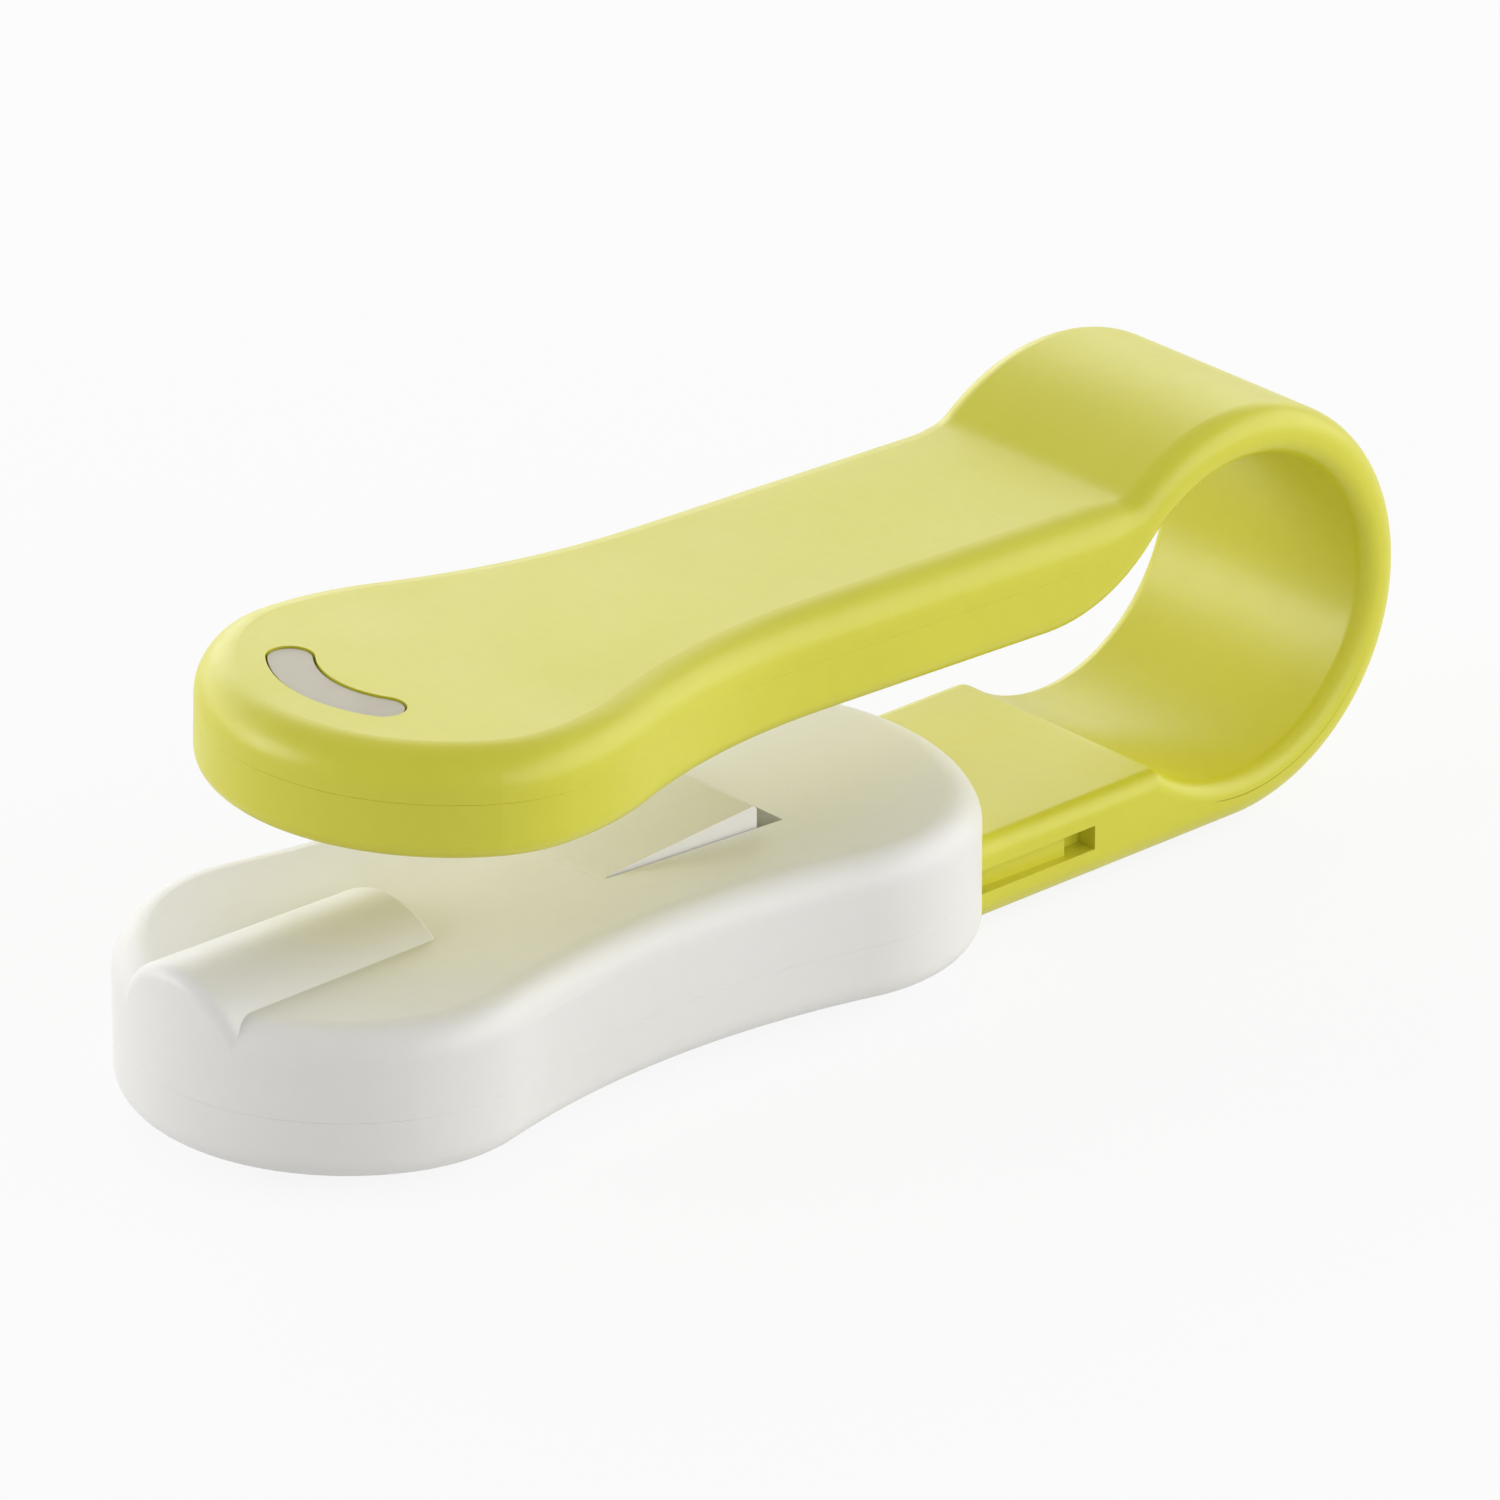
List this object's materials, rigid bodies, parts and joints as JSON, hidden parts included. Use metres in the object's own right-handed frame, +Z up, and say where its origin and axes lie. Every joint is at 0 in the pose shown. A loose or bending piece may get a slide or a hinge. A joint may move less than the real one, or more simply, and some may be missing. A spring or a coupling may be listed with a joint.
{
  "type": "spring clip latch",
  "caption": "Hand-squeezed plastic spring clip: a strap bent into a round loop carries a broad thumb paddle above and a waisted jaw with a clamping bead below.",
  "frame": {"origin": "middle of the clip's length and width, at the level of the jaw's underside", "axes": "+X runs from the jaw's nose to the loop, +Y across the strap, +Z up from the jaw towards the paddle arm"},
  "size_m": [0.1226, 0.0384, 0.037],
  "materials": {
    "strap": "smooth moulded, satin gloss",
    "jaw": "fine satin",
    "inlay": "satin",
    "pad": "matt, in the strap's colour",
    "spring": "smooth",
    "steel": "plain"
  },
  "bodies": {
    "base": {"lower_arm": "strap", "spring_loop": "strap"},
    "upper_arm": {"upper_arm_shell": "strap", "upper_arm_cover": "strap", "thumb_inlay": "inlay", "grip_pad": "pad", "arm_cover_screws": "steel"},
    "jaw": {"jaw_upper_shell": "jaw", "jaw_lower_shell": "jaw", "detent_spring_left": "spring", "detent_spring_right": "spring", "jaw_screws": "steel"},
    "tongue": {"catch_tongue": "jaw"}
  },
  "joints": [
    {"name": "loop_flex", "type": "hinge", "parent": "base", "child": "upper_arm", "pos_m": [0.0432, 0, 0.01895], "axis": [0, -1, 0], "range_deg": [0, 5.6], "stiffness_Nm_per_rad": 13.5, "deforming": ["spring_loop"]},
    {"name": "jaw_slide", "type": "slide", "parent": "base", "child": "jaw", "axis": [1, 0, 0], "range_m": [0, 0.016]},
    {"name": "tongue_flex", "type": "hinge", "parent": "jaw", "child": "tongue", "pos_m": [-0.02115, 0, 0.0135], "axis": [0, 1, 0], "range_deg": [0, 7.2], "stiffness_Nm_per_rad": 0.6}
  ]
}
